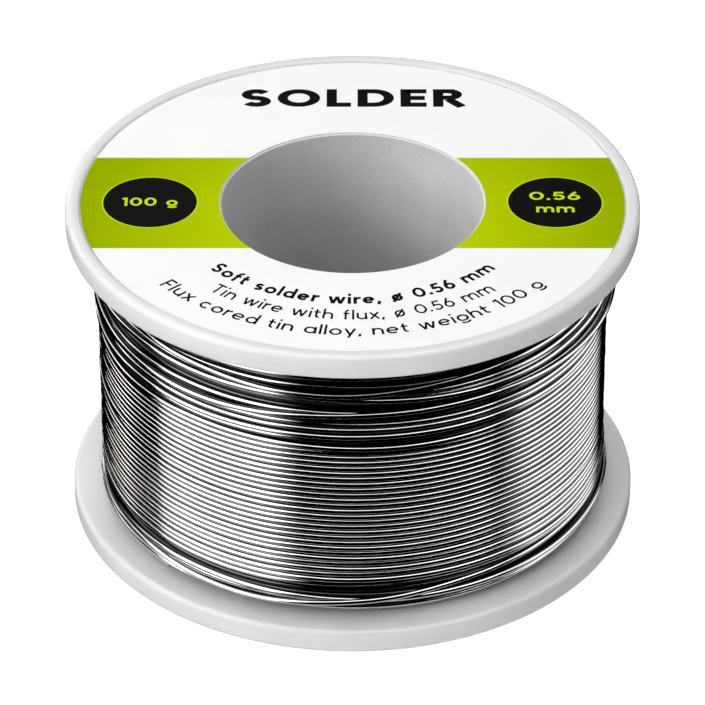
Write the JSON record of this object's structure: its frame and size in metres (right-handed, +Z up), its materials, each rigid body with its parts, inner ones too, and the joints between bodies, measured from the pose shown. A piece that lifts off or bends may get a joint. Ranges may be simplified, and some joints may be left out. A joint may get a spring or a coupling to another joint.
{
  "type": "solder wire spool",
  "caption": "Flanged plastic spool with a hollow hub, printed face labels and a full winding of thin solder wire.",
  "frame": {"origin": "centre of the spool's underside, on the bore's axis, at the plane of the lower flange's rim", "axes": "+Z up along the bore's axis from the lower flange to the upper flange; +Y to the back, where the wire's free end lies"},
  "size_m": [0.054, 0.054, 0.033],
  "materials": {
    "milky_plastic": "milky, slightly translucent moulded polystyrene with a soft satin gloss",
    "hub_plastic": "matte grey moulded polystyrene with a fine grain",
    "label_print": "white printed paper label with a satin varnish",
    "solder": "bright drawn tin alloy wire, polished, with faint drawing lines",
    "flux": "amber rosin"
  },
  "bodies": {
    "root": {"upper_flange": "milky_plastic", "lower_flange": "milky_plastic", "bore_sleeve": "hub_plastic", "hub_barrel": "hub_plastic", "top_label": "label_print", "bottom_label": "label_print", "wire_layer_1": "solder", "wire_layer_2": "solder", "wire_layer_3": "solder", "wire_layer_4": "solder", "wire_layer_5": "solder", "wire_layer_6": "solder", "wire_layer_7": "solder", "wire_layer_8": "solder", "wire_layer_9": "solder", "wire_start_end": "solder", "wire_free_end": "solder", "flux_core": "flux"}
  },
  "joints": []
}
